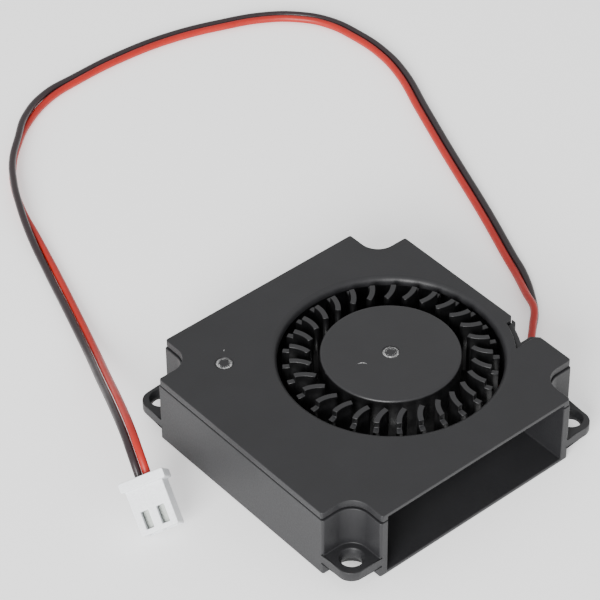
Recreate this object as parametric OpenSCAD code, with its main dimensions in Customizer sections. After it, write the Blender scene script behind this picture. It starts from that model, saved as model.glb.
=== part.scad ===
// Flat centrifugal blower fan with a brushless direct-current motor, two leads and a two-pin plug.
// The origin is under the middle of the square housing, +Z is up and the air outlet faces -Y.

/* [Housing] */
// Length and width of the square housing
body_w = 40; // [39:0.5:44]
// Height of the housing with its cover
body_h = 10; // [9:0.1:12]
// Side of the square notch at each corner
notch_w = 4.75; // [4.6:0.05:5.2]
// Radius of the rounded inner corner of a notch
notch_r = 2.4; // [1.5:0.1:2.8]
// Radius of the small outer corners beside the notches
tip_r = 0.3; // [0.15:0.05:0.5]
// Thickness of the side walls beside the air channel
wall_t = 1.25; // [1:0.05:1.5]
// Thickness of the walls between a notch and the air channel
jamb_t = 1.15; // [0.9:0.05:1.2]
// Thickness of the floor of the air channel
floor_t = 0.5; // [0.4:0.05:0.8]
// Radius of the rounded tongue between scroll and outlet
tongue_r = 0.6; // [0.4:0.1:0.9]
// Gap between the impeller and the tongue
tongue_gap = 0.5; // [0.4:0.05:0.8]
// Width of the air channel between the impeller and the nearest side wall
side_channel = 1.25; // [1:0.05:1.6]
// How much faster the scroll widens towards its end, 1 is an even spiral
scroll_growth = 1.2; // [1.1:0.05:1.4]

/* [Cover] */
// Height of the cover's edge
cover_t = 1.2; // [1:0.1:1.5]
// Thickness of the cover over the air channel
plate_t = 0.6; // [0.5:0.1:0.8]
// Width of the housing's ledge that shows beside the cover in the notches
ledge_w = 0.2; // [0.1:0.05:0.3]
// Height and depth of the fine groove at the cover's lower edge
seam = 0.15; // [0.1:0.05:0.2]
// Gap between the impeller's rim and the inlet's edge
inlet_gap = 0.5; // [0.4:0.1:0.8]
// Radius of the rounded edge of the inlet
inlet_edge_r = 0.8; // [0.4:0.1:0.9]
// Width of the stiffening lip round the inlet, under the cover
inlet_lip_w = 1.2; // [1:0.1:1.6]
// Diameter of the round gate mark that the mould leaves
gate_d = 2.2; // [1.6:0.1:2.6]

/* [Mounting ears] */
// Distance of a mounting hole's middle from the two outer sides beside it
hole_edge = 2.2; // [2.1:0.05:2.5]
// How far the whole pattern of holes lies off the middle, towards the back right corner
hole_shift = 0.2; // [0:0.05:0.3]
// Diameter of the mounting holes
hole_d = 2.4; // [2.2:0.1:2.6]
// Diameter of the funnel at the top of a mounting hole
funnel_d = 3; // [2.7:0.1:3.2]
// Depth of that funnel
funnel_h = 0.8; // [0.5:0.1:1]
// Height of the underside of the ears
ear_z = 1.75; // [1.2:0.05:2]
// Thickness of the ears
ear_t = 1.4; // [1.2:0.1:2]
// Radius of the outer corner of an ear
ear_r = 1.9; // [1.6:0.1:2.4]

/* [Lead exit] */
// Width of the notch in the cover where the leads leave
exit_w = 4.2; // [3.8:0.1:4.6]
// Distance of that notch from the middle, towards the outlet
exit_y = 7.15; // [6.8:0.05:7.6]
// Thickness of the wall between the notch and the air channel
exit_wall = 1.5; // [1.2:0.1:1.6]
// Width of the housing's key that fills the edge of the cover's notch
key_w = 0.8; // [0.6:0.05:0.85]
// How far the key stays below the cover's top
key_drop = 0.5; // [0.3:0.1:0.8]
// Height of the groove for the leads under the floor
groove_h = 1.2; // [1.15:0.05:1.25]

/* [Impeller] */
// Radius over the blades
impeller_r = 13.4; // [13:0.1:13.5]
// Number of blades
blade_n = 29; // [23:1:31]
// Thickness of a blade
blade_t = 0.7; // [0.5:0.05:0.8]
// Radius at the inner tip of the blades
blade_in_r = 10; // [9.8:0.1:10.4]
// How far the hooked inner tip leads the straight outer part, in degrees
blade_lead = 5; // [4:0.5:7]
// Radius where the hook ends and the top of the blade steps down
blade_step_r = 12.45; // [12.2:0.05:12.7]
// Depth of that step
blade_step_h = 0.9; // [0.6:0.1:1.2]
// Turn of the whole ring of blades about the axis, in degrees
blade_turn = -3; // [-6:0.5:6]
// How far the impeller stands above the cover
impeller_over = 0.3; // [0:0.1:0.4]
// Height of the underside of the impeller
impeller_z = 2.2; // [2.15:0.05:2.4]
// Thickness of the disc that carries the blades
disc_t = 0.7; // [0.6:0.1:0.9]
// Outer radius of the hub
hub_r = 8.7; // [8.6:0.1:8.8]
// Thickness of the hub's side wall
hub_wall = 0.75; // [0.6:0.05:0.8]
// Thickness of the hub's top
hub_top_t = 0.8; // [0.6:0.1:1]
// Radius of the rounded rim of the hub
hub_edge_r = 0.35; // [0.2:0.05:0.5]

/* [Motor] */
// Diameter of the shaft
shaft_d = 2; // [1.8:0.1:2.1]
// Radial gap between shaft and bearing
run_gap = 0.04; // [0.03:0.01:0.05]
// Wall of the sleeve bearing
bearing_wall = 1; // [0.9:0.05:1.1]
// Length of the hub's boss on the shaft
boss_l = 1.5; // [1.2:0.1:2]
// Wall of the bearing tube on the housing
tube_wall = 0.8; // [0.7:0.05:0.9]
// Height of the platform under the impeller
platform_h = 1.6; // [1.55:0.05:1.65]
// Thickness of the steel ring in the hub
yoke_t = 0.45; // [0.35:0.05:0.5]
// Thickness of the ring magnet
magnet_t = 0.85; // [0.7:0.05:0.9]
// Gap between the ring magnet and the inside of the hub's top
magnet_gap = 0.6; // [0.4:0.1:0.8]
// Air gap between magnet and stator
air_gap = 0.3; // [0.25:0.05:0.35]
// How much the magnet stands over the stack of stator sheets, at each end
core_short = 1.4; // [1.3:0.05:1.5]
// Width of a stator tooth
tooth_w = 1.9; // [1.7:0.1:2.1]
// Thickness of the plastic insulators over and under the sheets
insulator_t = 0.5; // [0.4:0.05:0.6]
// Thickness of the coil winding
coil_t = 0.7; // [0.5:0.05:0.8]
// Thickness of the circuit board
board_t = 0.6; // [0.5:0.05:0.7]

/* [Leads and plug] */
// Outer diameter of each lead
wire_d = 1; // [0.9:0.05:1]
// Distance between the middles of the two contacts in the plug
pin_pitch = 2; // [1.9:0.05:2.2]
// Width of the plug's body
plug_w = 4.7; // [4.4:0.1:4.9]
// Length of the plug
plug_l = 6.8; // [6.4:0.1:7.2]
// Thickness of the plug's body
plug_t = 4; // [3.8:0.1:4.4]
// Extra width of the plug's flange, each side
flange_w = 0.5; // [0.4:0.1:0.8]
// Length of the plug's flange
flange_l = 1.2; // [1:0.1:1.6]

/* [Hidden] */
$fn = 96;

charcoal = [0.26, 0.26, 0.27];
steel = [0.72, 0.73, 0.75];
brass_col = [0.72, 0.6, 0.35];

eps = 0.01;
fit = 0.02;          // seat of a pressed or glued piece, each side
clear = 0.3;         // clearance of pieces that move past each other

// Places that follow from the sizes above
half = body_w / 2;
notch_c = half - notch_w + notch_r;             // centre of a notch's rounded corner
fan_x = half - wall_t - side_channel - impeller_r;
housing_h = body_h - cover_t;
sweep_r = impeller_r + tongue_gap;              // scroll radius at the tongue
duct_x = half - notch_w - jamb_t;               // half width of the outlet
scroll_end_r = fan_x + half - wall_t;
inlet_r = impeller_r + inlet_gap;

// Tongue: a small round nose that touches the outlet's side wall and the impeller's sweep
tongue_x = duct_x + tongue_r - fan_x;
tongue_y = -sqrt(pow(sweep_r + tongue_r, 2) - pow(tongue_x, 2));
tongue_a = atan2(tongue_y, tongue_x);

// Blade: straight and radial outside the step, inside it an arc that leads by blade_lead at its tip
blade_p = [blade_in_r * cos(blade_lead), blade_in_r * sin(blade_lead)];
blade_tip_r = impeller_r - 0.1;
blade_arc_r = (pow(blade_step_r - blade_p[0], 2) + pow(blade_p[1], 2)) / (2 * blade_p[1]);
impeller_top = body_h + impeller_over;

// Motor radii, from the shaft outwards and from the hub inwards
shaft_r = shaft_d / 2;
bearing_r = shaft_r + run_gap + bearing_wall;
tube_in_r = bearing_r + fit;
tube_r = tube_in_r + tube_wall;
yoke_r = hub_r - hub_wall - fit;
magnet_r = yoke_r - yoke_t - fit;
stator_r = magnet_r - magnet_t - air_gap;
board_r = yoke_r - clear;

// Motor heights, from the underside up
recess_h = 0.4;                                  // round recess under the platform
recess_r = 10.5;
plug_seat_h = 0.6;
plug_seat_r = tube_in_r + 0.5;
pad_h = 0.3;
pad_z = recess_h + plug_seat_h;
shaft_z = pad_z + pad_h + fit;
clip_z = shaft_z + 0.4;
clip_h = 0.25;
bearing_z = clip_z + clip_h + clear;
hub_in_z = impeller_top - hub_top_t;
boss_z = hub_in_z - boss_l;
boss_r = shaft_r + 1.3;
washer_h = 0.25;
washer_z = boss_z - washer_h - 0.15;
bearing_l = washer_z - fit - bearing_z;
tube_top = washer_z + washer_h - 0.05;
shaft_top = hub_in_z - 0.2;
board_z = platform_h;
board_top = board_z + board_t;
magnet_z = board_top + 1;
magnet_h = hub_in_z - magnet_gap - magnet_z;
yoke_z = magnet_z - 0.2;
core_z = magnet_z + core_short;
core_h = magnet_h - 2 * core_short;
insulator_z = core_z - insulator_t;
coil_in_r = tube_r + 1.1;
coil_out_r = stator_r - 1;
shoe_a = 37;                                     // half angle of a pole shoe
post_r = 0.28;
post_ring_r = stator_r - 1.3;

// Locating pins of the cover: two outside the scroll, at these angles, and one beside the outlet
pin_r = 0.6;
pin_l = 2;
pin_wall = 0.6;
pin_angles = [142, 45];
pin_side = 3;
pin_notch = 2.2;

// Gate mark on the cover
gate_x = -12.3;
gate_y = 12;
gate_depth = 0.12;

// Notch for the leads: its back wall is round the impeller's axis
exit_back_r = sweep_r + exit_wall;
exit_flare = 0.5;
key_gap = 0.1;

// Groove and slot for the leads, from the board to the side notch
groove_w = 2 * wire_d + 0.4;
groove_a = -asin(exit_y / exit_back_r);
slot_r = board_r - 2.6;
slot_l = 2.6;

// Plug: place of the middle of its rear face, and how it lies
plug_pos = [-29.65, 6.1, 6.4];
plug_rot = [40, -20, -30];
plug_r = 0.25;
window_y = 5.1;
window_w = 0.95;
window_l = 2.2;
entry_l = 1;
entry_h = wire_d + 0.3;
entry_w = 2 * wire_d + 0.34;

// Route of the pair of leads: x, y, z and the roll of the pair in degrees.
// At a roll of 0 the black lead lies level on the right of the red one.
wire_gap = 0.04;
route = [
    [9.45, -2.8, 0.95, 0], [11.2, -3.7, 0.6, 0], [14, -5.2, 0.56, 0], [16.4, -6.45, 0.56, 0],
    [18.2, -7.4, 0.58, 0], [20, -7.4, 0.8, -30], [22, -6, 1, -70], [24.4, -3.8, 1.1, -90],
    [27.6, -1, 1.1, -90], [29.9, 1.1, 1.1, -80], [31.6, 3.8, 0.9, -40], [33.9, 8, 0.6, 0],
    [38.8, 19.6, 0.55, 0], [44, 32.9, 0.55, 0], [47.7, 42, 0.55, 0], [51, 50.1, 0.55, 0],
    [52.1, 55.2, 0.55, 0], [52.1, 60.6, 0.55, 0], [51, 66.1, 0.55, 0], [48.6, 69.8, 0.55, 0],
    [45, 72.8, 0.55, 0], [39, 75.6, 0.55, 0], [31.5, 78, 0.55, 0], [23.5, 79.1, 0.55, 0],
    [15.4, 79.1, 0.55, 0], [10, 78.4, 0.75, 20], [4.5, 75.8, 1, 60], [0.6, 72.6, 1.1, 90],
    [-2.8, 69.2, 1.1, 90], [-5.2, 65.7, 1.1, 90], [-7.6, 60.8, 1.05, 70], [-9.6, 55.4, 0.85, 30],
    [-12, 48.2, 0.6, 0], [-14.8, 40.3, 0.65, 0], [-17.9, 32.2, 1.7, 0], [-21.3, 24.9, 4.1, -8],
    [-25.2, 16.7, 7.2, -18], [-27.85, 11, 8.5, -25], [-29, 8.3, 8.15, -27], [-29.85, 5.35, 5.8, -27]
];

// ---------- Functions ----------

// Points along an arc about c, from angle a0 to a1
function arc_points(c, r, a0, a1, n) =
    [for (i = [0 : n]) let (a = a0 + (a1 - a0) * i / n) c + r * [cos(a), sin(a)]];

// Radius of the scroll at angle a, measured at the impeller's axis
function scroll_r(a) =
    sweep_r + (scroll_end_r - sweep_r) * pow((a - tongue_a) / (180 - tongue_a), scroll_growth);

function unit(v) = v / norm(v);

// Point and roll at position t on a smooth curve through the route's points
function pick(i) = route[max(0, min(len(route) - 1, i))];
function route_at(t) =
    let (i = min(floor(t), len(route) - 2), u = t - i,
         a = pick(i - 1), b = pick(i), c = pick(i + 1), d = pick(i + 2))
    ((2 * b) + (c - a) * u + (2 * a - 5 * b + 4 * c - d) * u * u
     + (3 * b - a - 3 * c + d) * u * u * u) / 2;
function xyz(p) = [p[0], p[1], p[2]];

// ---------- Flat outlines ----------

// Rectangle about the origin with round corners
module round_rect(w, d, r) {
    square([w - 2 * r, d], center = true);
    square([w, d - 2 * r], center = true);
    for (sx = [-1, 1]) {
        for (sy = [-1, 1]) {
            translate([sx * (w / 2 - r), sy * (d / 2 - r)]) circle(r);
        }
    }
}

// The notch at the corner (+, +), grown on all sides by extra
module notch_2d(extra = 0) {
    low = notch_c - notch_r - extra;
    reach = half - low + 1;
    translate([notch_c, low]) square([reach, reach]);
    translate([low, notch_c]) square([reach, reach]);
    translate([notch_c, notch_c]) circle(notch_r + extra);
}

// Square outline with a notch at each corner, set back by inset, and by ledge as well in the notches
module outline_2d(inset = 0, ledge = 0) {
    outer_w = body_w - 2 * inset;
    inner_w = outer_w - 2 * (notch_w + ledge);
    fillet_r = notch_r + inset + ledge;
    round_rect(outer_w, inner_w, tip_r);
    round_rect(inner_w, outer_w, tip_r);
    at_corners() difference() {
        translate([inner_w / 2 - eps, inner_w / 2 - eps]) square(fillet_r + eps);
        translate([notch_c, notch_c]) circle(fillet_r);
    }
}

// Air channel: tongue, scroll round the impeller, bay on the far side and outlet duct
module channel_2d() {
    bay_r = 1;
    left = -(half - wall_t);
    front = -(half - notch_w - jamb_t);
    axis = [fan_x, 0];
    polygon(concat(
        [[duct_x, -half - 1]],
        arc_points(axis + [tongue_x, tongue_y], tongue_r, 180, 180 + tongue_a, 4),
        [for (i = [1 : 44]) let (a = tongue_a + (180 - tongue_a) * i / 44)
            axis + scroll_r(a) * [cos(a), sin(a)]],
        arc_points([left + bay_r, front + bay_r], bay_r, 180, 270, 4),
        arc_points([-notch_c, -notch_c], notch_r + jamb_t, 90, 0, 8),
        [[-duct_x, -half - 1]]
    ));
}

module at_axis() {
    translate([fan_x, 0, 0]) children();
}

module at_corners() {
    for (k = [0 : 3]) {
        rotate(90 * k) children();
    }
}

// Ring between two radii, standing on z = 0
module ring(r_out, r_in, h) {
    difference() {
        cylinder(r = r_out, h = h);
        translate([0, 0, -1]) cylinder(r = r_in, h = h + 2);
    }
}

// ---------- Housing and cover ----------

module ear() {
    translate([0, 0, ear_z]) linear_extrude(ear_t) intersection() {
        notch_2d(0.3);
        union() {
            square([half, half - ear_r]);
            square([half - ear_r, half]);
            translate([half - ear_r, half - ear_r]) circle(ear_r);
        }
    }
}

// Notch where the leads leave, made smaller on all sides by inset, its mouth a little flared
module exit_2d(inset) {
    w = exit_w - 2 * inset;
    difference() {
        translate([0, -exit_y]) polygon([
            [fan_x, -w / 2], [half - exit_flare, -w / 2], [half, -w / 2 - exit_flare],
            [half + 1, -w / 2 - exit_flare], [half + 1, w / 2 + exit_flare],
            [half, w / 2 + exit_flare], [half - exit_flare, w / 2], [fan_x, w / 2]
        ]);
        translate([fan_x, 0]) circle(exit_back_r + inset);
    }
}

// Rim of the housing's notch that stands up inside the cover's notch
module exit_key() {
    linear_extrude(body_h - key_drop) intersection() {
        outline_2d();
        exit_2d(key_gap);
    }
}

// Bore of an ear, with a funnel at its top
module ear_hole() {
    funnel_z = ear_z + ear_t - funnel_h;
    cylinder(d = hole_d, h = body_h);
    translate([0, 0, funnel_z]) cylinder(d1 = hole_d, d2 = funnel_d, h = funnel_h);
    translate([0, 0, funnel_z + funnel_h]) cylinder(d = funnel_d, h = 1);
}

module at_holes() {
    for (sx = [-1, 1]) {
        for (sy = [-1, 1]) {
            translate((half - hole_edge) * [sx, sy, 0] + hole_shift * [1, 1, 0]) children();
        }
    }
}

module at_pins() {
    for (a = pin_angles) {
        at_axis() rotate(a) translate([scroll_r(a) + pin_wall + pin_r, 0, 0]) children();
    }
    translate([half - pin_side, -(half - notch_w - pin_notch), 0]) children();
}

// Groove under the floor and the slot that leads up to the circuit board
module lead_groove() {
    at_axis() rotate(groove_a) {
        translate([slot_r, -groove_w / 2, -1]) cube([half, groove_w, groove_h + 1]);
        translate([slot_r, -groove_w / 2, -1]) cube([slot_l, groove_w, platform_h + 2]);
    }
}

module base_housing() {
    color(charcoal) difference() {
        union() {
            difference() {
                linear_extrude(housing_h) outline_2d();
                translate([0, 0, floor_t]) linear_extrude(housing_h) channel_2d();
            }
            at_corners() ear();
            exit_key();
            at_axis() {
                cylinder(r1 = impeller_r + 0.3, r2 = impeller_r - 0.5, h = platform_h);
                cylinder(r = tube_r, h = tube_top);
            }
        }
        translate([0, 0, -1]) linear_extrude(body_h + 2) exit_2d(key_w);
        lead_groove();
        at_holes() ear_hole();
        at_pins() translate([0, 0, housing_h - pin_l - clear]) cylinder(r = pin_r + fit, h = pin_l + 1);
        at_axis() {
            translate([0, 0, -1]) cylinder(r = tube_in_r, h = body_h);
            translate([0, 0, -1]) cylinder(r = plug_seat_r, h = pad_z + 1);
            translate([0, 0, -1]) cylinder(r = recess_r, h = recess_h + 1);
        }
    }
}

// Shallow dimple with a rough nub, as a mould's gate leaves it
module gate_mark(z) {
    translate([0, 0, z - gate_depth]) difference() {
        cylinder(r = gate_d / 2, h = 1);
        translate([0, 0, -eps]) cylinder(r = gate_d / 2 - 0.35, h = gate_depth);
    }
}

// Solid that cuts the inlet, with a rounded upper edge
module inlet_cut() {
    rotate_extrude() difference() {
        translate([0, -1]) square([inlet_r + inlet_edge_r, body_h + 2]);
        translate([inlet_r, -2]) square([1, body_h + 2 - inlet_edge_r]);
        translate([inlet_r + inlet_edge_r, body_h - inlet_edge_r]) circle(inlet_edge_r);
    }
}

// Solid cover with the fine groove that marks the seam
module cover_body() {
    translate([0, 0, housing_h]) linear_extrude(cover_t) outline_2d(seam, ledge_w);
    translate([0, 0, housing_h + seam]) linear_extrude(cover_t - seam) outline_2d(0, ledge_w);
}

module top_cover() {
    color(charcoal) difference() {
        union() {
            difference() {
                cover_body();
                translate([0, 0, housing_h - 1]) linear_extrude(1 + cover_t - plate_t) channel_2d();
            }
            at_axis() translate([0, 0, housing_h]) cylinder(r = inlet_r + inlet_lip_w, h = plate_t);
            at_pins() translate([0, 0, housing_h - pin_l]) cylinder(r = pin_r, h = pin_l + plate_t);
        }
        translate([0, 0, housing_h - 1]) linear_extrude(cover_t + 2) exit_2d(0);
        at_axis() inlet_cut();
        translate([gate_x, gate_y, 0]) gate_mark(body_h);
    }
}

// ---------- Rotor ----------

// One blade, its straight outer part on the X axis
module blade_2d() {
    centre = [blade_step_r, blade_arc_r];
    in_a = asin((blade_step_r - blade_p[0]) / blade_arc_r);
    steps = 5;
    polygon(concat(
        [[blade_tip_r, blade_t / 2]],
        [for (i = [0 : steps]) let (a = in_a * i / steps)
            centre - (blade_arc_r - blade_t / 2) * [sin(a), cos(a)]],
        [for (i = [steps : -1 : 0]) let (a = in_a * i / steps)
            centre - (blade_arc_r + blade_t / 2) * [sin(a), cos(a)]],
        [[blade_tip_r, -blade_t / 2]]
    ));
}

module blade() {
    foot = impeller_z + disc_t / 2;
    translate([0, 0, foot]) difference() {
        linear_extrude(impeller_top - foot) blade_2d();
        translate([blade_step_r, -blade_t, impeller_top - foot - blade_step_h]) {
            cube([impeller_r, 2 * blade_t, body_h]);
        }
    }
}

// Hub cup, blade disc and shaft boss, as a turned profile
module hub() {
    difference() {
        rotate_extrude() {
            difference() {
                union() {
                    translate([0, impeller_z]) square([hub_r, impeller_top - impeller_z - hub_edge_r]);
                    translate([0, impeller_top - 1]) square([hub_r - hub_edge_r, 1]);
                    translate([hub_r - hub_edge_r, impeller_top - hub_edge_r]) circle(hub_edge_r);
                    translate([0, impeller_z]) square([impeller_r, disc_t]);
                }
                translate([0, impeller_z - 1]) square([hub_r - hub_wall, hub_in_z - impeller_z + 1]);
            }
            translate([0, boss_z]) square([boss_r, hub_in_z - boss_z + eps]);
        }
        translate([0, 0, boss_z - 1]) cylinder(r = shaft_r + fit, h = shaft_top - boss_z + 1 + fit);
    }
}

module impeller() {
    color(charcoal) at_axis() difference() {
        union() {
            hub();
            for (k = [0 : blade_n - 1]) {
                rotate(blade_turn + 360 * k / blade_n) blade();
            }
        }
        gate_mark(impeller_top);
    }
}

module rotor_yoke() {
    color(steel) at_axis() translate([0, 0, yoke_z]) ring(yoke_r, yoke_r - yoke_t, hub_in_z - yoke_z - fit);
}

module ring_magnet() {
    color([0.2, 0.2, 0.21]) at_axis() translate([0, 0, magnet_z]) ring(magnet_r, magnet_r - magnet_t, magnet_h);
}

module shaft() {
    color(steel) at_axis() rotate_extrude() difference() {
        union() {
            translate([0, shaft_z + 0.3]) square([shaft_r, shaft_top - shaft_z - 0.3]);
            translate([0, shaft_z]) square([shaft_r - 0.3, 0.4]);
            intersection() {
                translate([shaft_r - 0.3, shaft_z + 0.3]) circle(0.3);
                translate([0, shaft_z]) square([shaft_r, 0.4]);
            }
        }
        translate([shaft_r - 0.25, clip_z]) square([1, clip_h]);
    }
}

// Open spring ring in the groove of the shaft
module shaft_clip() {
    color(steel) at_axis() translate([0, 0, clip_z + fit]) difference() {
        ring(bearing_r - 0.35, shaft_r - 0.25 + fit, clip_h - 2 * fit);
        translate([0, -0.35, -1]) cube([3, 0.7, 2]);
    }
}

module oil_washer() {
    color([0.9, 0.89, 0.84]) at_axis() translate([0, 0, washer_z]) ring(bearing_r - 0.1, shaft_r + fit, washer_h);
}

// ---------- Bearing and stator ----------

module sleeve_bearing() {
    color(brass_col) at_axis() translate([0, 0, bearing_z]) rotate_extrude() difference() {
        translate([shaft_r + run_gap, 0]) square([bearing_wall, bearing_l]);
        for (z = [0, bearing_l]) {
            translate([shaft_r + run_gap, z]) rotate(45) square(0.3, center = true);
        }
    }
}

module thrust_pad() {
    color([0.93, 0.92, 0.88]) at_axis() translate([0, 0, pad_z]) cylinder(r = tube_in_r - 0.1, h = pad_h);
}

module bearing_plug() {
    color([0.12, 0.12, 0.12]) at_axis() translate([0, 0, recess_h]) {
        cylinder(r = plug_seat_r - fit, h = plug_seat_h);
    }
}

// Outline of the stator: ring, four teeth and their curved shoes
module stator_2d() {
    difference() {
        union() {
            circle(tube_r + 0.9);
            for (k = [0 : 3]) {
                rotate(90 * k) translate([0, -tooth_w / 2]) square([stator_r - 0.3, tooth_w]);
            }
            intersection() {
                difference() {
                    circle(stator_r);
                    circle(stator_r - 0.65);
                }
                for (k = [0 : 3]) {
                    rotate(90 * k) polygon([
                        [0, 0],
                        2 * stator_r * [cos(shoe_a), -sin(shoe_a)],
                        2 * stator_r * [1, 0],
                        2 * stator_r * [cos(shoe_a), sin(shoe_a)]
                    ]);
                }
            }
        }
        circle(tube_r + fit);
    }
}

module stator_core() {
    color([0.55, 0.56, 0.58]) at_axis() translate([0, 0, core_z]) linear_extrude(core_h) stator_2d();
}

module insulator_plate() {
    linear_extrude(insulator_t) intersection() {
        stator_2d();
        circle(stator_r - 0.1);
    }
}

// Plastic insulator over the sheets, with a collar and a guard behind each coil
module upper_insulator() {
    color([0.9, 0.9, 0.86]) at_axis() translate([0, 0, core_z + core_h]) {
        insulator_plate();
        coil_guards(coil_t);
    }
}

// Upright guards between the coils and the pole shoes
module coil_guards(h) {
    linear_extrude(insulator_t + h) intersection() {
        circle(stator_r - 0.1);
        for (k = [0 : 3]) {
            rotate(90 * k) translate([coil_out_r + 0.1, -tooth_w]) square([stator_r, 2 * tooth_w]);
        }
    }
}

// Insulator under the sheets: it stands on the circuit board and carries the terminal posts
module lower_insulator() {
    color([0.9, 0.9, 0.86]) at_axis() difference() {
        union() {
            translate([0, 0, core_z]) mirror([0, 0, 1]) {
                insulator_plate();
                coil_guards(coil_t - 0.1);
            }
            translate([0, 0, board_top]) ring(tube_r + 0.9, tube_r + fit, core_z - board_top);
            for (k = [0 : 2]) {
                rotate(45 + 90 * k) translate([tube_r + 0.5, -0.6, insulator_z]) {
                    cube([post_ring_r - tube_r, 1.2, insulator_t]);
                }
            }
        }
        terminal_holes(post_r + fit);
    }
}

module terminal_holes(r) {
    for (k = [0 : 2]) {
        rotate(45 + 90 * k) translate([post_ring_r, 0, 0]) cylinder(r = r, h = body_h);
    }
}

// Wire-wrap posts between the lower insulator and the board
module terminal_posts() {
    color(brass_col) at_axis() intersection() {
        terminal_holes(post_r);
        translate([0, 0, board_z]) cylinder(r = stator_r, h = core_z - board_z - fit);
    }
}

// One coil, wound round a tooth and its insulators
module coil(k) {
    z0 = insulator_z - fit;
    window_h = core_h + 2 * insulator_t + 2 * fit;
    color([0.74, 0.42, 0.2]) at_axis() rotate(90 * k) difference() {
        translate([coil_in_r, 0, z0 + window_h / 2]) rotate([90, 0, 90])
            linear_extrude(coil_out_r - coil_in_r) difference() {
                round_rect(tooth_w + 2 * fit + 2 * coil_t, window_h + 2 * coil_t, coil_t * 0.8);
                square([tooth_w + 2 * fit, window_h], center = true);
            }
    }
}

// ---------- Circuit board ----------

module circuit_board() {
    color([0.12, 0.36, 0.2]) at_axis() difference() {
        translate([0, 0, board_z]) ring(board_r, tube_r + fit, board_t);
        terminal_holes(post_r + fit);
        lead_holes(0.3);
    }
}

// Where the bared ends of the two leads come up through the board
module lead_holes(r) {
    rotate(groove_a) for (s = [-1, 1]) {
        translate([slot_r + 0.7, s * (wire_d + wire_gap) / 2, 0]) cylinder(r = r, h = body_h);
    }
}

module solder_joints() {
    color([0.78, 0.79, 0.8]) at_axis() {
        rotate(groove_a) for (s = [-1, 1]) {
            translate([slot_r + 0.7, s * (wire_d + wire_gap) / 2, board_top]) {
                cylinder(r1 = 0.5, r2 = 0.3, h = 0.4);
                translate([0, 0, -board_t - 0.8]) cylinder(r = 0.27, h = board_t + 1);
            }
        }
    }
}

// A small part on the board at angle a, its long side across the radius
module board_part(a, r, size) {
    at_axis() rotate(a) translate([r - size[0] / 2, -size[1] / 2, board_top]) cube(size);
}

module driver_chip() {
    color([0.1, 0.1, 0.1]) board_part(180, tube_r + 1.9, [1.6, 2.9, 0.8]);
}

module chip_capacitor() {
    color([0.6, 0.5, 0.38]) board_part(108, board_r - 1.1, [0.8, 1.6, 0.6]);
}

module chip_resistor() {
    color([0.08, 0.08, 0.08]) board_part(72, board_r - 1.1, [0.8, 1.6, 0.45]);
}

// ---------- Leads and plug ----------

// Place on one lead: side 1 is the black lead, -1 the red one
function lead_point(t, side) =
    let (p = route_at(t),
         dir = unit(xyz(route_at(min(t + 0.01, len(route) - 1))) - xyz(route_at(max(t - 0.01, 0)))),
         right = unit(cross(dir, [0, 0, 1])), up = cross(right, dir))
    xyz(p) + side * (wire_d + wire_gap) / 2 * (cos(p[3]) * right + sin(p[3]) * up);

// Tube swept along the route
module lead(side) {
    sides = 8;
    rings = 39;
    last = len(route) - 1;
    centres = [for (i = [0 : rings]) lead_point(last * i / rings, side)];
    points = [
        for (i = [0 : rings])
            let (dir = unit(centres[min(i + 1, rings)] - centres[max(i - 1, 0)]),
                 right = unit(cross(dir, [0, 0, 1])), up = cross(right, dir))
            for (k = [0 : sides - 1])
                let (a = 360 * (k + 0.5) / sides)
                centres[i] + wire_d / 2 * (cos(a) * right + sin(a) * up)
    ];
    walls = [
        for (i = [0 : rings - 1])
            for (k = [0 : sides - 1])
                let (n = (k + 1) % sides)
                [i * sides + n, (i + 1) * sides + n, (i + 1) * sides + k, i * sides + k]
    ];
    ends = [
        [for (k = [sides - 1 : -1 : 0]) k],
        [for (k = [0 : sides - 1]) rings * sides + k]
    ];
    polyhedron(points, concat(walls, ends), convexity = 10);
}

module lead_red() {
    color([0.8, 0.28, 0.22]) lead(-1);
}

module lead_black() {
    color([0.2, 0.17, 0.19]) lead(1);
}

// The plug's own frame: X across the contacts, +Y towards the leads, +Z out of its windows
module at_plug() {
    translate(plug_pos) rotate(plug_rot) children();
}

module plug_housing() {
    flange_t = plug_t + 0.3;
    color([0.95, 0.96, 0.96]) at_plug() difference() {
        union() {
            translate([0, -plug_l / 2, -plug_t / 2]) linear_extrude(plug_t) {
                round_rect(plug_w, plug_l, plug_r);
            }
            translate([0, -flange_l / 2, -plug_t / 2]) linear_extrude(flange_t) {
                round_rect(plug_w + 2 * flange_w, flange_l, plug_r);
            }
        }
        translate([-entry_w / 2, -entry_l, -entry_h / 2]) cube([entry_w, entry_l + 1, entry_h]);
        for (s = [-1, 1]) {
            translate([s * pin_pitch / 2 - 0.75, -plug_l - 1, -0.9]) {
                cube([1.5, plug_l + 1 - entry_l + eps, 1.8]);
            }
            translate([s * pin_pitch / 2 - window_w / 2, -window_y - window_l / 2, 0]) {
                cube([window_w, window_l, plug_t]);
            }
        }
    }
}

// Crimp contact: a square socket, a neck and a barrel that holds the lead
module contact(side) {
    back = -entry_l - fit;
    color(steel) at_plug() translate([side * pin_pitch / 2, 0, 0]) {
        difference() {
            translate([-0.65, -plug_l + 0.5, -0.8]) cube([1.3, 3, 1.6]);
            translate([-0.45, -plug_l, -0.6]) cube([0.9, 3, 1.2]);
        }
        translate([-0.4, -plug_l + 3.4, -0.4]) cube([0.8, plug_l - 3.4 - 1.6 - entry_l + eps, 0.4]);
        translate([0, back, 0]) rotate([90, 0, 0]) cylinder(r = 0.6, h = 1.6);
    }
}

module contact_red() {
    contact(1);
}

module contact_black() {
    contact(-1);
}

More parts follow.
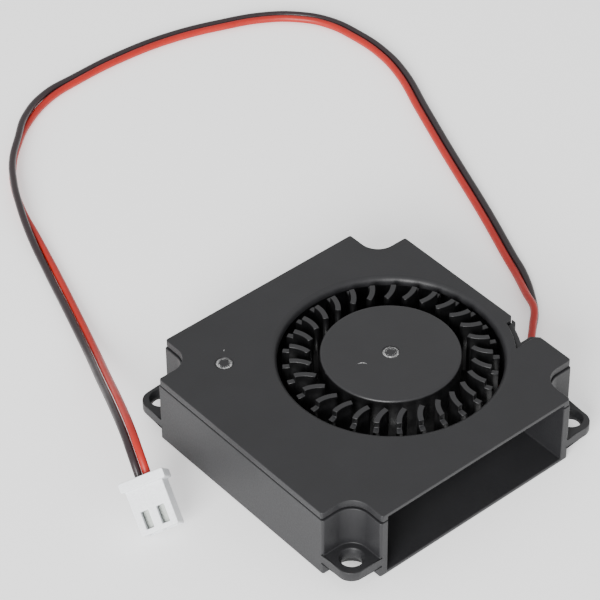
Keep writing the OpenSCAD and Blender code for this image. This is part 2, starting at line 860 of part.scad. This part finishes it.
base_housing();
top_cover();
impeller();
rotor_yoke();
ring_magnet();
shaft();
shaft_clip();
oil_washer();
sleeve_bearing();
thrust_pad();
bearing_plug();
stator_core();
upper_insulator();
lower_insulator();
coil(0);  // coil_1
coil(1);  // coil_2
coil(2);  // coil_3
coil(3);  // coil_4
terminal_posts();
circuit_board();
driver_chip();
chip_capacitor();
chip_resistor();
solder_joints();
lead_red();
lead_black();
plug_housing();
contact_red();
contact_black();
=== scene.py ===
import math

import bmesh
import bpy
from mathutils import Matrix, Vector, noise


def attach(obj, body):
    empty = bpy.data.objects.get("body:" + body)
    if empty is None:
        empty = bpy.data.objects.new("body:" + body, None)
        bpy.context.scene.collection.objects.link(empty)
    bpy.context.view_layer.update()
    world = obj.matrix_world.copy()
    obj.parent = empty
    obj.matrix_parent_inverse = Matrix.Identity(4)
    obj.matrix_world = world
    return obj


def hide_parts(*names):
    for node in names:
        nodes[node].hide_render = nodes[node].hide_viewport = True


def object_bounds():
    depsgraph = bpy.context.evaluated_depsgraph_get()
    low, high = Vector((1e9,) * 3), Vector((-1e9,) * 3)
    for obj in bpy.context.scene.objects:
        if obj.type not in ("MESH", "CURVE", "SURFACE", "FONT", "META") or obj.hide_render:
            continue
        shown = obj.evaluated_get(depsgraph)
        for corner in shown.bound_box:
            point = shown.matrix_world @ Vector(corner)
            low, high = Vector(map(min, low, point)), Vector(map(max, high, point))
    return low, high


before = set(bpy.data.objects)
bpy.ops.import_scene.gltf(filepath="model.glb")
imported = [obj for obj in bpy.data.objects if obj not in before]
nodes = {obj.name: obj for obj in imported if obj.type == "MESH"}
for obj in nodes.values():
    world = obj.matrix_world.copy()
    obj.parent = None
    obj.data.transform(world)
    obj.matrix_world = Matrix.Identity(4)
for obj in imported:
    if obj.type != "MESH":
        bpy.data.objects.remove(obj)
cad_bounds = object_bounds()
scene = bpy.context.scene


# ---------- Camera ----------

# The view from over the near left corner of the housing
AZIMUTH = math.radians(-40.12)
ELEVATION = math.radians(41.7)
ROLL = math.radians(-0.53)
TARGET = Vector((0.00574, 0.01901, 0.005))
DISTANCE = 0.3779
LENS = 178.8


def make_camera():
    back = Vector((
        math.sin(AZIMUTH) * math.cos(ELEVATION),
        -math.cos(AZIMUTH) * math.cos(ELEVATION),
        math.sin(ELEVATION),
    ))
    right = Vector((math.cos(AZIMUTH), math.sin(AZIMUTH), 0))
    up = back.cross(right)
    right, up = (
        right * math.cos(ROLL) + up * math.sin(ROLL),
        up * math.cos(ROLL) - right * math.sin(ROLL),
    )
    data = bpy.data.cameras.new("camera")
    data.sensor_width = 36
    data.lens = LENS
    camera = bpy.data.objects.new("camera", data)
    turn = Matrix((right, up, back)).transposed().to_4x4()
    camera.matrix_world = Matrix.Translation(TARGET + back * DISTANCE) @ turn
    scene.collection.objects.link(camera)
    scene.camera = camera


make_camera()


# ---------- Leads ----------

WIRE_D = 0.001
WIRE_GAP = 0.00004

# Route of the pair: x, y and z in metres and the roll of the pair in degrees.
# At a roll of 0 the black lead lies level on the right of the red one.
ROUTE = [
    (0.00945, -0.0028, 0.00095, 0), (0.0112, -0.0037, 0.0006, 0),
    (0.014, -0.0052, 0.00056, 0), (0.0164, -0.00645, 0.00056, 0),
    (0.0182, -0.0074, 0.00058, 0), (0.02, -0.0074, 0.0008, -30),
    (0.022, -0.006, 0.001, -70), (0.0244, -0.0038, 0.0011, -90),
    (0.0276, -0.001, 0.0011, -90), (0.0299, 0.0011, 0.0011, -80),
    (0.0316, 0.0038, 0.0009, -40), (0.0339, 0.008, 0.00065, 0), (0.0352, 0.0111, 0.00057, 0),
    (0.0388, 0.0196, 0.00055, 0), (0.044, 0.0329, 0.00055, 0),
    (0.0477, 0.042, 0.00055, 0), (0.051, 0.0501, 0.00055, 0),
    (0.0521, 0.0552, 0.00055, 0), (0.0521, 0.0606, 0.00055, 0),
    (0.051, 0.0661, 0.00055, 0), (0.0486, 0.0698, 0.00055, 0),
    (0.045, 0.0728, 0.00055, 0), (0.039, 0.0756, 0.00055, 0),
    (0.0315, 0.078, 0.00055, 0), (0.0235, 0.0791, 0.00055, 0),
    (0.0154, 0.0791, 0.00055, 0), (0.01, 0.0784, 0.00075, 20),
    (0.0045, 0.0758, 0.001, 60), (0.0006, 0.0726, 0.0011, 90),
    (-0.0028, 0.0692, 0.0011, 90), (-0.0052, 0.0657, 0.0011, 90),
    (-0.0076, 0.0608, 0.00105, 70), (-0.0096, 0.0554, 0.00085, 30),
    (-0.012, 0.0482, 0.0006, 0), (-0.0148, 0.0403, 0.0009, 0),
    (-0.0179, 0.0322, 0.0017, 0), (-0.0213, 0.0249, 0.0041, -8),
    (-0.0252, 0.0167, 0.0072, -18), (-0.02785, 0.011, 0.0085, -25),
    (-0.029, 0.0083, 0.00815, -27), (-0.02985, 0.00535, 0.0058, -27),
]


def lead_points(side):
    """Centre line of one lead: side 1 is the black lead, -1 the red one."""
    last = len(ROUTE) - 1
    points = []
    for i, (x, y, z, roll) in enumerate(ROUTE):
        before = Vector(ROUTE[max(i - 1, 0)][:3])
        after = Vector(ROUTE[min(i + 1, last)][:3])
        along = (after - before).normalized()
        right = along.cross(Vector((0, 0, 1))).normalized()
        up = right.cross(along)
        turn = math.radians(roll)
        offset = side * (WIRE_D + WIRE_GAP) / 2
        points.append(Vector((x, y, z)) + offset * (math.cos(turn) * right + math.sin(turn) * up))
    return points


def make_lead(name, side, solid):
    curve = bpy.data.curves.new(name, "CURVE")
    curve.dimensions = "3D"
    curve.bevel_depth = 1
    curve.bevel_resolution = 5
    curve.resolution_u = 10
    curve.use_fill_caps = True
    points = lead_points(side)
    spline = curve.splines.new("BEZIER")
    spline.bezier_points.add(len(points) - 1)
    for knot, point in zip(spline.bezier_points, points):
        knot.co = point
        knot.radius = WIRE_D / 2
        knot.handle_left_type = knot.handle_right_type = "AUTO"
    lead = bpy.data.objects.new(name, curve)
    scene.collection.objects.link(lead)
    bpy.context.view_layer.update()
    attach(lead, "housing")
    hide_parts(solid)
    return lead


lead_red = make_lead("lead_red_cord", -1, "lead_red")
lead_black = make_lead("lead_black_cord", 1, "lead_black")


# ---------- Material helpers ----------

class Shader:
    """A Principled material with short calls for the nodes that feed it."""

    def __init__(self, name, roughness, **values):
        self.material = bpy.data.materials.new(name)
        self.material.use_nodes = True
        self.tree = self.material.node_tree
        self.surface = self.tree.nodes["Principled BSDF"]
        self.surface.inputs["Roughness"].default_value = roughness
        for key, value in values.items():
            self.surface.inputs[key.replace("_", " ")].default_value = value
        place = self.tree.nodes.new("ShaderNodeTexCoord")
        self.place = place.outputs["Object"]
        self.normal = None

    def link(self, source, target):
        self.tree.links.new(source, target)

    def noise(self, size, detail=3.0, roughness=0.6, stretch=(1, 1, 1)):
        """Noise whose grains are about size metres across."""
        mapping = self.tree.nodes.new("ShaderNodeMapping")
        mapping.inputs["Scale"].default_value = stretch
        self.link(self.place, mapping.inputs["Vector"])
        node = self.tree.nodes.new("ShaderNodeTexNoise")
        node.inputs["Scale"].default_value = 1 / size
        node.inputs["Detail"].default_value = detail
        node.inputs["Roughness"].default_value = roughness
        self.link(mapping.outputs["Vector"], node.inputs["Vector"])
        return node.outputs["Fac"]

    def ramp(self, source, *stops):
        node = self.tree.nodes.new("ShaderNodeValToRGB")
        elements = node.color_ramp.elements
        while len(elements) < len(stops):
            elements.new(0.5)
        for element, (position, colour) in zip(elements, stops):
            element.position = position
            if isinstance(colour, (int, float)):
                colour = (colour, colour, colour)
            element.color = (*colour, 1)
        self.link(source, node.inputs["Fac"])
        return node.outputs["Color"]

    def mix(self, share, first, second, blend="MIX"):
        node = self.tree.nodes.new("ShaderNodeMix")
        node.data_type = "RGBA"
        node.blend_type = blend
        if isinstance(share, (int, float)):
            node.inputs["Factor"].default_value = share
        else:
            self.link(share, node.inputs["Factor"])
        self.link(first, node.inputs["A"])
        self.link(second, node.inputs["B"])
        return node.outputs["Result"]

    def height(self, low, high):
        """0 below the first height and 1 above the second, in metres."""
        place = self.tree.nodes.new("ShaderNodeTexCoord")
        split = self.tree.nodes.new("ShaderNodeSeparateXYZ")
        node = self.tree.nodes.new("ShaderNodeMapRange")
        node.inputs["From Min"].default_value = low
        node.inputs["From Max"].default_value = high
        self.link(place.outputs["Object"], split.inputs["Vector"])
        self.link(split.outputs["Z"], node.inputs["Value"])
        return node.outputs["Result"]

    def facing_up(self):
        """0 on upright walls and 1 on faces that look up."""
        face = self.tree.nodes.new("ShaderNodeNewGeometry")
        split = self.tree.nodes.new("ShaderNodeSeparateXYZ")
        node = self.tree.nodes.new("ShaderNodeMapRange")
        node.inputs["From Min"].default_value = 0.1
        node.inputs["From Max"].default_value = 0.6
        self.link(face.outputs["Normal"], split.inputs["Vector"])
        self.link(split.outputs["Z"], node.inputs["Value"])
        return node.outputs["Result"]

    def colour(self, source):
        self.link(source, self.surface.inputs["Base Color"])

    def rough(self, source, low, high):
        shades = self.ramp(source, (0.3, low), (0.7, high))
        self.link(shades, self.surface.inputs["Roughness"])

    def bump(self, source, height, strength=1.0):
        node = self.tree.nodes.new("ShaderNodeBump")
        node.inputs["Distance"].default_value = height
        node.inputs["Strength"].default_value = strength
        self.link(source, node.inputs["Height"])
        if self.normal:
            self.link(self.normal, node.inputs["Normal"])
        self.normal = node.outputs["Normal"]
        self.link(self.normal, self.surface.inputs["Normal"])


def shade(colour, factor):
    return tuple(channel * factor for channel in colour)


def moulded(name, colour, roughness, grain=0.00025, height=0.00001, mottle=0.12, sheen=0.5,
            painted_shade_heights=None):
    """Moulded plastic: fine spark-eroded grain and a faint uneven tone.

    Below the two given heights the tone falls off, and on upright walls too: painted shade, standing in for the
    shade deep between the blades."""
    shader = Shader(name, roughness, Specular_IOR_Level=sheen)
    large = shader.noise(0.006, 4)
    fine = shader.noise(grain, 2, 0.7)
    tone = shader.ramp(large, (0.3, shade(colour, 1 - mottle)), (0.7, shade(colour, 1 + mottle)))
    speck = shader.ramp(fine, (0.35, shade(colour, 0.88)), (0.65, shade(colour, 1.12)))
    skin = shader.mix(0.45, tone, speck)
    # painted shade: the skin goes dark below the given heights and on upright walls, where the blades shade each
    # other
    if painted_shade_heights:
        painted_shade = shader.ramp(large, (0.3, shade(colour, 0.12)), (0.7, shade(colour, 0.2)))
        skin = shader.mix(shader.height(*painted_shade_heights), painted_shade, skin)
        skin = shader.mix(shader.facing_up(), painted_shade, skin)
    shader.colour(skin)
    shader.rough(fine, roughness - 0.07, roughness + 0.07)
    shader.bump(fine, height)
    return shader.material


def metal(name, colour, roughness, stretch=(1, 1, 1), grain=0.0004):
    """Metal with fine drawn or ground lines along its smallest stretch."""
    shader = Shader(name, roughness, Metallic=1.0)
    lines = shader.noise(grain, 3, 0.6, stretch)
    shader.colour(shader.ramp(lines, (0.3, shade(colour, 0.8)), (0.7, colour)))
    shader.rough(lines, roughness - 0.06, roughness + 0.1)
    shader.bump(lines, 0.000004)
    return shader.material


def insulation(name, colour, roughness):
    """Extruded lead insulation: smooth, with faint streaks and small scuffs."""
    shader = Shader(name, roughness, Specular_IOR_Level=0.45)
    streaks = shader.noise(0.003, 4, 0.6)
    scuffs = shader.noise(0.0006, 3, 0.7)
    tone = shader.ramp(streaks, (0.3, shade(colour, 0.85)), (0.7, shade(colour, 1.12)))
    spots = shader.ramp(scuffs, (0.35, shade(colour, 0.9)), (0.65, shade(colour, 1.08)))
    shader.colour(shader.mix(0.4, tone, spots))
    shader.rough(scuffs, roughness - 0.08, roughness + 0.1)
    shader.bump(scuffs, 0.000006)
    return shader.material


CHARCOAL = (0.018, 0.018, 0.0195)

MATERIALS = {
    "housing_plastic": moulded("housing_plastic", CHARCOAL, 0.46, sheen=0.36),
    # the impeller's blade walls and everything below 8.4 to 9.2 mm get painted shade
    "impeller_plastic": moulded("impeller_plastic", CHARCOAL, 0.4, grain=0.0002, sheen=0.42, painted_shade_heights=(0.0084, 0.0092)),
    "steel": metal("steel", (0.62, 0.63, 0.65), 0.28, (1, 1, 0.05)),
    "magnet": moulded("magnet", (0.06, 0.06, 0.063), 0.6, height=0.00002),
    "nylon": moulded("nylon", (0.72, 0.7, 0.64), 0.4),
    "sintered_bronze": metal("sintered_bronze", (0.55, 0.38, 0.2), 0.45, grain=0.00015),
    "seal_rubber": moulded("seal_rubber", (0.03, 0.03, 0.03), 0.7),
    "silicon_steel": metal("silicon_steel", (0.42, 0.43, 0.45), 0.4, (0.05, 0.05, 1)),
    "insulator_plastic": moulded("insulator_plastic", (0.75, 0.74, 0.66), 0.5),
    "copper_wire": metal("copper_wire", (0.75, 0.3, 0.12), 0.3, (0.1, 0.1, 1), grain=0.00015),
    "brass": metal("brass", (0.7, 0.52, 0.26), 0.3),
    "board": moulded("board", (0.03, 0.14, 0.05), 0.4, mottle=0.2),
    "chip_black": moulded("chip_black", (0.025, 0.025, 0.025), 0.55),
    "ceramic": moulded("ceramic", (0.38, 0.26, 0.16), 0.4),
    "solder": metal("solder", (0.68, 0.68, 0.7), 0.25, grain=0.0003),
    "red_insulation": insulation("red_insulation", (0.4, 0.012, 0.006), 0.42),
    "black_insulation": insulation("black_insulation", (0.022, 0.013, 0.015), 0.33),
    "plug_plastic": moulded("plug_plastic", (0.86, 0.88, 0.9), 0.42, height=0.000006, mottle=0.04),
    "tinned_contact": metal("tinned_contact", (0.3, 0.32, 0.3), 0.38),
}


# ---------- Pieces made from the CAD solids ----------

FAN_AXIS = Vector((0.0041, 0.0))


def seen_on_impeller(point):
    """True on the blade tops and the hub's rim, and False inside the hub."""
    return point.z > 0.008 and math.hypot(point.x - FAN_AXIS.x, point.y - FAN_AXIS.y) > 0.0082


def softened(name, width, seen=None, angle=40, segments=3):
    """A copy of a CAD node whose sharp edges are rounded, as moulded edges are.

    With seen, only the edges whose ends it accepts are rounded."""
    node = nodes[name]
    mesh = node.data.copy()
    mesh.name = name + "_moulded"
    work = bmesh.new()
    work.from_mesh(mesh)
    bmesh.ops.remove_doubles(work, verts=work.verts, dist=0.0000005)
    bmesh.ops.dissolve_limit(
        work, angle_limit=math.radians(0.6), verts=work.verts, edges=work.edges
    )
    weight = work.edges.layers.float.new("bevel_weight_edge")
    for edge in work.edges:
        sharp = edge.is_manifold and edge.calc_face_angle(0) > math.radians(angle)
        edge[weight] = float(sharp and (not seen or all(seen(v.co) for v in edge.verts)))
    work.to_mesh(mesh)
    work.free()
    piece = bpy.data.objects.new(name + "_moulded", mesh)
    scene.collection.objects.link(piece)
    bevel = piece.modifiers.new("bevel", "BEVEL")
    bevel.width = width
    bevel.segments = segments
    bevel.limit_method = "WEIGHT"
    bevel.use_clamp_overlap = False
    bevel.miter_outer = "MITER_SHARP"
    bevel.miter_inner = "MITER_SHARP"
    bevel.loop_slide = True
    weighted = piece.modifiers.new("flat faces", "WEIGHTED_NORMAL")
    weighted.weight = 100
    weighted.keep_sharp = False
    for polygon in mesh.polygons:
        polygon.use_smooth = True
    return piece


def dress():
    """Give every CAD node and the two leads their materials."""
    for name, node in nodes.items():
        for slot in node.material_slots:
            if slot.material:
                key = slot.material.name.split(".")[0]
                if key in MATERIALS:
                    slot.material = MATERIALS[key]
    for lead, key in ((lead_red, "red_insulation"), (lead_black, "black_insulation")):
        lead.data.materials.append(MATERIALS[key])


dress()


# Node, width of its rounded edges in metres, which edges, and the body it rides on
SOFTENED = [
    ("base_housing", 0.00012, None, "housing"),
    ("top_cover", 0.00012, None, "housing"),
    ("impeller", 0.0001, seen_on_impeller, "rotor"),
    ("plug_housing", 0.00012, None, "housing"),
]
for name, width, seen, body in SOFTENED:
    piece = softened(name, width, seen)
    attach(piece, body)
    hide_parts(name)

# ---------- Gate marks and nicks ----------

# Radius and depth of the torn ring where the plastic was let into the mould
GATE_RINGS = (
    (0.0001, 0.00009), (0.0003, 0.00008), (0.00042, 0.00002), (0.0006, 0.0),
    (0.0008, 0.00004), (0.00102, 0.00011),
)
GATE_STEPS = 48


def torn(name):
    """Plastic stressed pale where it tore."""
    shader = Shader(name, 0.35, Specular_IOR_Level=0.5)
    flecks = shader.noise(0.00018, 4, 0.75)
    shader.colour(shader.ramp(flecks, (0.36, 0.05), (0.5, 0.2), (0.64, 0.6)))
    shader.rough(flecks, 0.25, 0.6)
    shader.bump(flecks, 0.00004)
    return shader.material


def put(piece, material, body):
    piece.data.materials.append(material)
    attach(piece, body)


def gate_mark(name, x, y, top, body):
    work = bmesh.new()
    rows = []
    for radius, depth in GATE_RINGS:
        row = []
        for step in range(GATE_STEPS):
            turn = 2 * math.pi * step / GATE_STEPS
            place = Vector((math.cos(turn), math.sin(turn), 0)) * radius
            rough = abs(noise.noise(place * 6000 + Vector((x, y, 0)) * 1000))
            spread = 1 + 0.12 * noise.noise(place * 2500)
            row.append(work.verts.new((
                x + place.x * spread, y + place.y * spread, top - depth - rough * 0.00005
            )))
        rows.append(row)
    work.faces.new(reversed(rows[0])).normal_flip()
    for inner, outer in zip(rows, rows[1:]):
        for step in range(GATE_STEPS):
            after = (step + 1) % GATE_STEPS
            work.faces.new((inner[step], outer[step], outer[after], inner[after]))
    bmesh.ops.recalc_face_normals(work, faces=work.faces)
    mesh = bpy.data.meshes.new(name)
    work.to_mesh(mesh)
    work.free()
    piece = bpy.data.objects.new(name, mesh)
    scene.collection.objects.link(piece)
    put(piece, TORN, body)


def nick(name, points, top, body):
    """A short scratch with a raised pale burr."""
    curve = bpy.data.curves.new(name, "CURVE")
    curve.dimensions = "3D"
    curve.bevel_depth = 1
    curve.bevel_resolution = 2
    spline = curve.splines.new("BEZIER")
    spline.bezier_points.add(len(points) - 1)
    for point, (x, y) in zip(spline.bezier_points, points):
        point.co = (x, y, top - 0.00003)
        point.radius = 0.00008
        point.handle_left_type = point.handle_right_type = "AUTO"
    spline.bezier_points[0].radius = spline.bezier_points[-1].radius = 0.000016
    piece = bpy.data.objects.new(name, curve)
    scene.collection.objects.link(piece)
    put(piece, TORN, body)


TORN = torn("torn_plastic")
COVER_TOP = 0.01
HUB_TOP = 0.0103
gate_mark("gate_mark_cover", -0.0123, 0.012, COVER_TOP, "housing")
gate_mark("gate_mark_hub", FAN_AXIS.x, FAN_AXIS.y, HUB_TOP, "rotor")
nick("nick_hub", ((-0.0006, 0.0011), (0.0002, 0.0008), (0.0006, 0.0001)), HUB_TOP,
     "rotor")
nick("nick_cover", ((-0.01105, 0.01355), (-0.01085, 0.0138), (-0.0107, 0.01385)), COVER_TOP,
     "housing")

# ---------- Floor and light ----------

# The floor is a lit table, as under a product photograph
FLOOR_LIGHT = 0.5


def make_floor():
    size = 0.2
    mesh = bpy.data.meshes.new("floor")
    corners = [(-size, -size, 0), (size, -size, 0), (size, size, 0), (-size, size, 0)]
    mesh.from_pydata(corners, [], [(0, 1, 2, 3)])
    floor = bpy.data.objects.new("floor", mesh)
    floor.location = (TARGET.x, TARGET.y, cad_bounds[0][2] - 0.00012)
    paper = Shader("floor", 0.9)
    paper.colour(paper.ramp(paper.noise(0.05), (0.3, 0.93), (0.7, 0.95)))
    paper.surface.inputs["Emission Color"].default_value = (1, 1, 1, 1)
    paper.surface.inputs["Emission Strength"].default_value = FLOOR_LIGHT
    mesh.materials.append(paper.material)
    scene.collection.objects.link(floor)


def make_light(name, azimuth, elevation, distance, size, power):
    """A soft round light that looks at the housing from the given side."""
    turn, lift = math.radians(azimuth), math.radians(elevation)
    data = bpy.data.lights.new(name, "AREA")
    data.shape = "DISK"
    data.size = size
    data.energy = power
    light = bpy.data.objects.new(name, data)
    side = Vector((
        math.sin(turn) * math.cos(lift), -math.cos(turn) * math.cos(lift), math.sin(lift)
    ))
    light.location = TARGET + side * distance
    light.rotation_euler = (-side).to_track_quat("-Z", "Y").to_euler()
    scene.collection.objects.link(light)


def make_world():
    world = bpy.data.worlds.new("studio")
    world.use_nodes = True
    background = world.node_tree.nodes["Background"]
    background.inputs["Color"].default_value = (1, 1, 1, 1)
    background.inputs["Strength"].default_value = WORLD_LIGHT
    scene.world = world


WORLD_LIGHT = 0.9

make_floor()
make_world()
make_light("key", -58, 24, 1.0, 0.5, 17)
